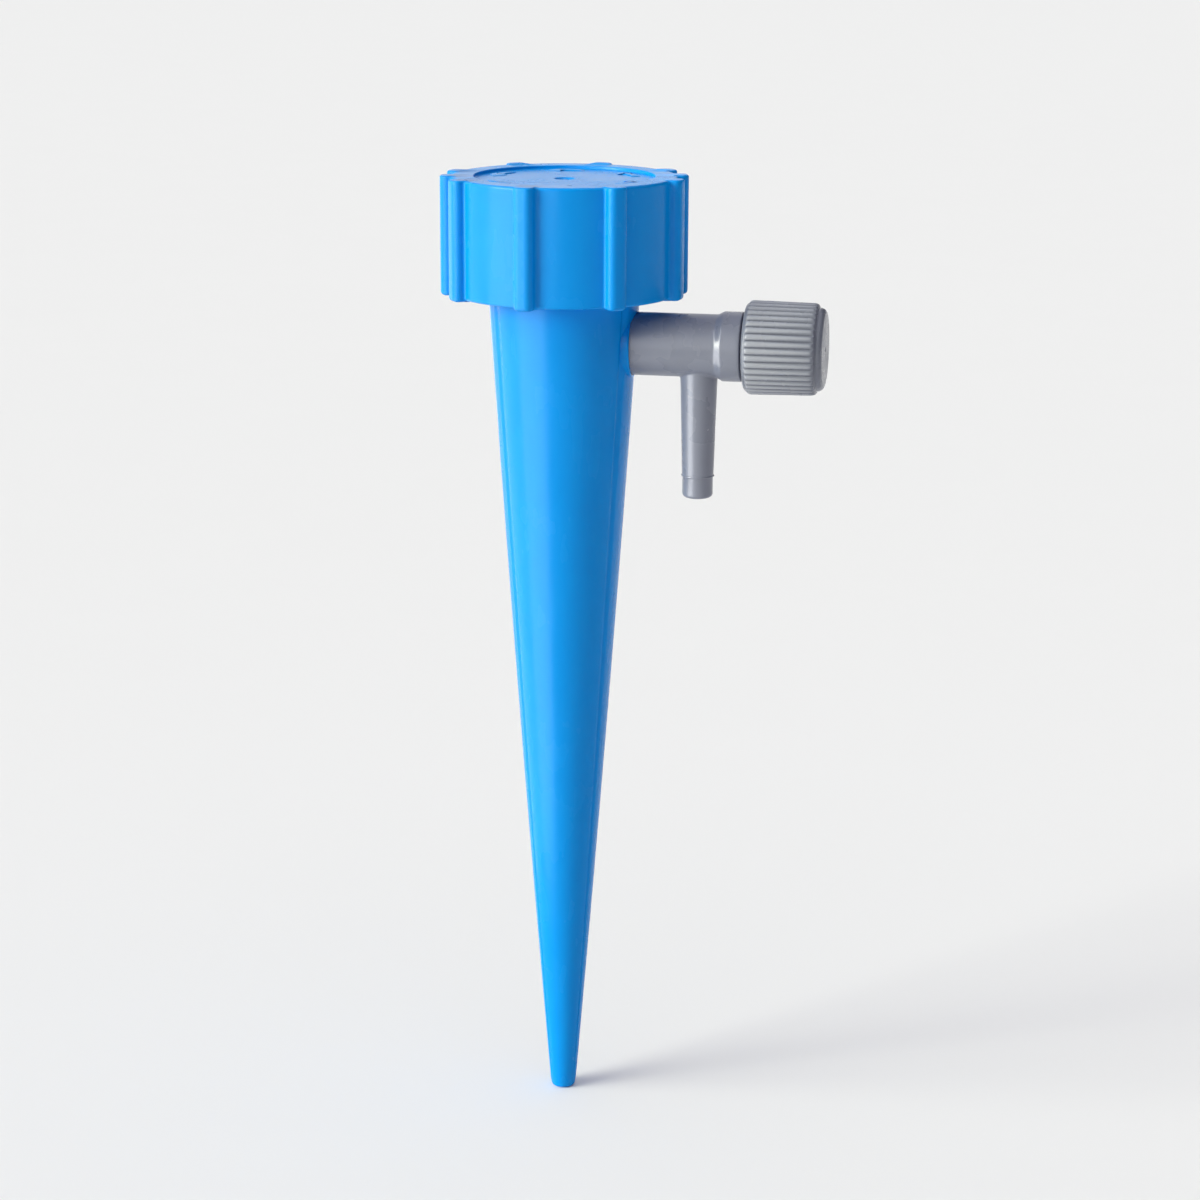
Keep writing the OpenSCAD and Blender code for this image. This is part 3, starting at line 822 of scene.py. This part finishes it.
def ridge_ring(core_r, crest_r, x):
    """A ring of the knob's outside: forty rounded ridges that stand out from its core."""
    per_ridge = 10
    ring = []
    for i in range(RIDGES * per_ridge):
        off = (i % per_ridge) / per_ridge * 2 - 1
        turn = 2 * pi * i / (RIDGES * per_ridge)
        r = core_r + (crest_r - core_r) * cos(off * pi / 2) ** 0.7
        ring.append((r * cos(turn), r * sin(turn), x))
    return ring


def grip_ring(x):
    """The knob's ring at a place along its grip, where the ridges end like fingertips."""
    from_mouth = min(x - KNOB_X, CORE_EDGE_R)
    draft = KNOB_DRAFT * (x - KNOB_X) / (GRIP_END_X - KNOB_X)
    core_r = CORE_R - draft - CORE_EDGE_R + sqrt(CORE_EDGE_R**2 - (CORE_EDGE_R - from_mouth) ** 2)
    finger = min(x - KNOB_X - MOUTH_RIM_L, GRIP_END_X - 0.1 - x, RIDGE_END_L) / RIDGE_END_L
    height = sqrt(1 - (1 - max(0, finger)) ** 2)
    return ridge_ring(core_r, core_r + (KNOB_R - draft - core_r) * height, x)


def knob():
    """Ridged knob: bore, mouth, grip, smooth end disc and its gate dimple."""
    inside = [(0, KNOB_FLOOR_X), (KNOB_BORE_R - 0.3, KNOB_FLOOR_X), (KNOB_BORE_R, KNOB_FLOOR_X - 0.3)]
    inside += [(KNOB_BORE_R, KNOB_X + 4), (KNOB_BORE_R, KNOB_X + 0.3), (KNOB_BORE_R + 0.3, KNOB_X)]
    rings = [ridge_ring(r, r, x) for r, x in inside]
    steps = [1 - cos(radians(t)) for t in along(0, 90, 12)]
    ridges_start = KNOB_X + MOUTH_RIM_L
    ridges_end = GRIP_END_X - 0.1
    rings += [grip_ring(KNOB_X + MOUTH_RIM_L * step) for step in steps]
    rings += [grip_ring(ridges_start + RIDGE_END_L * step) for step in steps[1:]]
    rings += [grip_ring(x) for x in along(KNOB_X + 2.5, GRIP_END_X - 2.5, 4)]
    rings += [grip_ring(ridges_end - RIDGE_END_L * step) for step in reversed(steps)]
    end = [(CORE_R - 0.22, GRIP_END_X - 0.03), (CORE_R - 0.32, GRIP_END_X), (DISC_R + 0.1, GRIP_END_X)]
    end += [(DISC_R + 0.03, GRIP_END_X + 0.04), (DISC_R, GRIP_END_X + 0.12)]
    end += arc(DISC_R - DISC_EDGE_R, KNOB_END_X - DISC_EDGE_R, DISC_EDGE_R, 0, 84, 10)
    end += [(r, KNOB_END_X) for r in (5, 4, 2.5, 1.2, 0.55)]
    end += [(0.38, KNOB_END_X - 0.03), (0.3, KNOB_END_X - 0.12)]
    end += [(r, KNOB_END_X - DIMPLE_DEPTH) for r in (0.15, 0)]
    rings += [ridge_ring(r, r, x) for r, x in end]
    bm = bmesh.new()
    loft(bm, rings)
    thread(bm, KNOB_BORE_R, VALVE_THREAD, KNOB_THREAD_X, side=-1)
    lay_along_valve(bm)
    piece = as_object(bm, "Control_knob")
    return dress(piece, KNOB_GREY, "knob", "grey_plastic", "control_knob", crease=60)


def o_ring(name, middle_r, section_r, x, body, node):
    """A round-section ring on the valve's axis."""
    bm = bmesh.new()
    revolve(bm, arc(middle_r, x, section_r, 0, 337.5, 15), 72, closed=True)
    lay_along_valve(bm)
    return dress(as_object(bm, name), RUBBER, body, "seal_rubber", node)


def needle():
    """Needle with its fine point, guides, ring groove and press pin."""
    ring_l = NEEDLE_RING_R + RING_SIDE_ROOM
    groove_r = CHAMBER_R - 2 * (NEEDLE_RING_R + RING_SQUEEZE_ROOM)
    outline = [
        (0, NEEDLE_X - POINT_L),
        (POINT_R, NEEDLE_X - POINT_L),
        (NEEDLE_R, NEEDLE_X),
        (STEM_R, NEEDLE_X + STEM_R - ORIFICE_R),
        (STEM_R, GUIDE_X - 0.15),
        (STEM_R + STEM_EDGE, GUIDE_X),
        (GUIDE_R, GUIDE_X),
        (GUIDE_R, NEEDLE_RING_X - ring_l),
        (groove_r, NEEDLE_RING_X - ring_l),
        (groove_r, NEEDLE_RING_X + ring_l),
        (GUIDE_R, NEEDLE_RING_X + ring_l),
        (GUIDE_R, KNOB_FLOOR_X),
        (PIN_R, KNOB_FLOOR_X),
        (PIN_R, KNOB_FLOOR_X + PIN_L),
        (0, KNOB_FLOOR_X + PIN_L),
    ]
    bm = bmesh.new()
    revolve(bm, outline, 96)
    lay_along_valve(bm)
    return dress(as_object(bm, "Flow_needle"), GREY, "knob", "grey_plastic", "flow_needle")


def washer():
    """Flat rubber washer on the cup's floor."""
    edge = WASHER_EDGE_R
    top_z = FLOOR_Z + WASHER_T
    outline = [
        *arc(WASHER_R - edge, FLOOR_Z + edge, edge, -90, 0, 3),
        *arc(WASHER_R - edge, top_z - edge, edge, 0, 90, 3),
        *arc(WASHER_BORE_R + edge, top_z - edge, edge, 90, 180, 3),
        *arc(WASHER_BORE_R + edge, FLOOR_Z + edge, edge, 180, 270, 3),
    ]
    bm = bmesh.new()
    revolve(bm, outline, 128, closed=True)
    return dress(as_object(bm, "Bottle_washer"), RUBBER, "stake", "seal_rubber", "bottle_washer")


def liner():
    """Foam disc under the cap's top."""
    edge = LINER_EDGE_R
    outline = [
        (0, RIM_Z),
        *arc(LINER_R - edge, RIM_Z + edge, edge, -90, 0, 3),
        *arc(LINER_R - edge, CAP_CEILING_Z - edge, edge, 0, 90, 3),
        (0, CAP_CEILING_Z),
    ]
    bm = bmesh.new()
    revolve(bm, outline, 128)
    return dress(as_object(bm, "Cap_liner"), FOAM, "liner", "liner_foam", "cap_liner")


stake()
screw_cap()
valve()
knob()
needle()
port_hole_r = SPIGOT_R + PLUG_FIT - RING_SQUEEZE_ROOM
o_ring("Port_o_ring", port_hole_r - PORT_RING_R, PORT_RING_R, PORT_RING_X, "stake", "port_o_ring")
seal_r = CHAMBER_R - RING_SQUEEZE_ROOM
o_ring("Needle_o_ring", seal_r - NEEDLE_RING_R, NEEDLE_RING_R, NEEDLE_RING_X, "needle_seal", "needle_o_ring")
washer()
liner()

# Camera: its turn round the stake, distance and height, then how far it looks aside and down and leans
CAMERA_TURN = 11
CAMERA_BACK = 0.439
CAMERA_UP = 0.197
LOOK_ASIDE = 0.736
LOOK_DOWN = 14.7
LEAN = 0.26
FOCAL_PIXELS = 2900
PHOTO_PIXELS = 1200
SENSOR_W = 36

# Light of the room on surfaces, in reflections and behind the object
FILL = 0.12
ROOM = 0.045
SEEN = 0.83

# Lamps: turn from the camera's side, angle above the floor, strength, width and colour
LAMPS = {
    "Overhead light": (0, 90, 1.45, 100, (0.97, 0.97, 1.09)),
    "Key light": (-80, 30, 1.15, 26, (1, 1.02, 0.88)),
    "Side light": (-64, 14, 3.15, 26, (1, 1.02, 0.88)),
}

# Panels: turn from the camera's side, width in degrees, distance, low and high edge, brightness
PANELS = {
    "Left panel": (-51, 45, 0.08, 0, 0.3, 7),
    "Front panel": (-13, 12, 0.19, 0.11, 0.3, 3),
    "Back panel": (180, 36, 0.5, 0, 0.6, 0.9),
    "Far left panel": (-103, 60, 0.08, 0, 0.3, 1.9),
}


def camera():
    """Stands at the photograph's viewpoint."""
    data = bpy.data.cameras.new("Camera")
    data.sensor_width = SENSOR_W
    data.lens = data.sensor_width * FOCAL_PIXELS / PHOTO_PIXELS
    data.clip_start = 0.01
    data.clip_end = 20
    eye = bpy.data.objects.new("Camera", data)
    bpy.context.scene.collection.objects.link(eye)
    turn = radians(CAMERA_TURN)
    eye.location = (CAMERA_BACK * sin(turn), -CAMERA_BACK * cos(turn), CAMERA_UP)
    aim = turn - radians(LOOK_ASIDE)
    way = Vector((-sin(aim), cos(aim), -tan(radians(LOOK_DOWN))))
    eye.rotation_euler = (way.to_track_quat("-Z", "Y") @ Quaternion((0, 0, 1), radians(LEAN))).to_euler()
    bpy.context.scene.camera = eye


def lamp(name, kind, turn, back, height, aim_height):
    """A lamp round the object, aimed at its axis. Turn is measured from the camera's side."""
    data = bpy.data.lights.new(name, kind)
    made = bpy.data.objects.new(name, data)
    bpy.context.scene.collection.objects.link(made)
    t = radians(CAMERA_TURN + turn)
    made.location = (back * sin(t), -back * cos(t), height)
    way = Vector((0, 0, aim_height)) - made.location
    made.rotation_euler = way.to_track_quat("-Z", "Y").to_euler()
    return made, data


def far_lamp(name, turn, height, strength, width, colour):
    """Soft light from far away, at an angle above the floor."""
    made, data = lamp(name, "SUN", turn, cos(radians(height)), sin(radians(height)), 0)
    data.energy = strength
    data.angle = radians(width)
    data.color = colour


def panel(name, turn, span, back, low, high, brightness):
    """An upright white panel that is only seen as a reflection."""
    made, data = lamp(name, "AREA", turn, back, (low + high) / 2, (low + high) / 2)
    data.shape = "RECTANGLE"
    data.size = 2 * back * tan(radians(span / 2))
    data.size_y = high - low
    data.energy = brightness * pi * data.size * data.size_y
    made.visible_camera = False
    made.visible_diffuse = False


def surround():
    """Pale light from all sides, darker in reflections and as white as the floor behind the object."""
    world = bpy.data.worlds.new("Surround")
    world.use_nodes = True
    nodes, links = world.node_tree.nodes, world.node_tree.links
    room = nodes["Background"]
    room.inputs["Color"].default_value = (1, 1, 1, 1)
    path = nodes.new("ShaderNodeLightPath")
    level = nodes.new("ShaderNodeMapRange")
    level.inputs["To Min"].default_value = FILL
    level.inputs["To Max"].default_value = ROOM
    links.new(path.outputs["Is Glossy Ray"], level.inputs["Value"])
    seen = nodes.new("ShaderNodeMapRange")
    seen.inputs["To Max"].default_value = SEEN
    links.new(path.outputs["Is Camera Ray"], seen.inputs["Value"])
    links.new(level.outputs["Result"], seen.inputs["To Min"])
    links.new(seen.outputs["Result"], room.inputs["Strength"])
    bpy.context.scene.world = world


def floor():
    """Wide pale floor, which fills the picture."""
    bm = bmesh.new()
    bmesh.ops.create_grid(bm, x_segments=1, y_segments=1, size=12)
    mesh = bpy.data.meshes.new("Floor")
    bm.to_mesh(mesh)
    bm.free()
    made = bpy.data.objects.new("Floor", mesh)
    bpy.context.scene.collection.objects.link(made)
    f = Finish("Pale floor")
    grain = f.noise(40, detail=1)
    f.feed(Base_Color=f.mix(grain, (0.870, 0.864, 0.866, 1), (0.876, 0.870, 0.872, 1)))
    f.feed(Roughness=0.95, Specular_IOR_Level=0)
    mesh.materials.append(f.material)


def studio():
    """Floor, lamps and panels."""
    floor()
    surround()
    for name, setting in LAMPS.items():
        far_lamp(name, *setting)
    for name, setting in PANELS.items():
        panel(name, *setting)
    bpy.context.scene.view_settings.view_transform = "Standard"


camera()
studio()
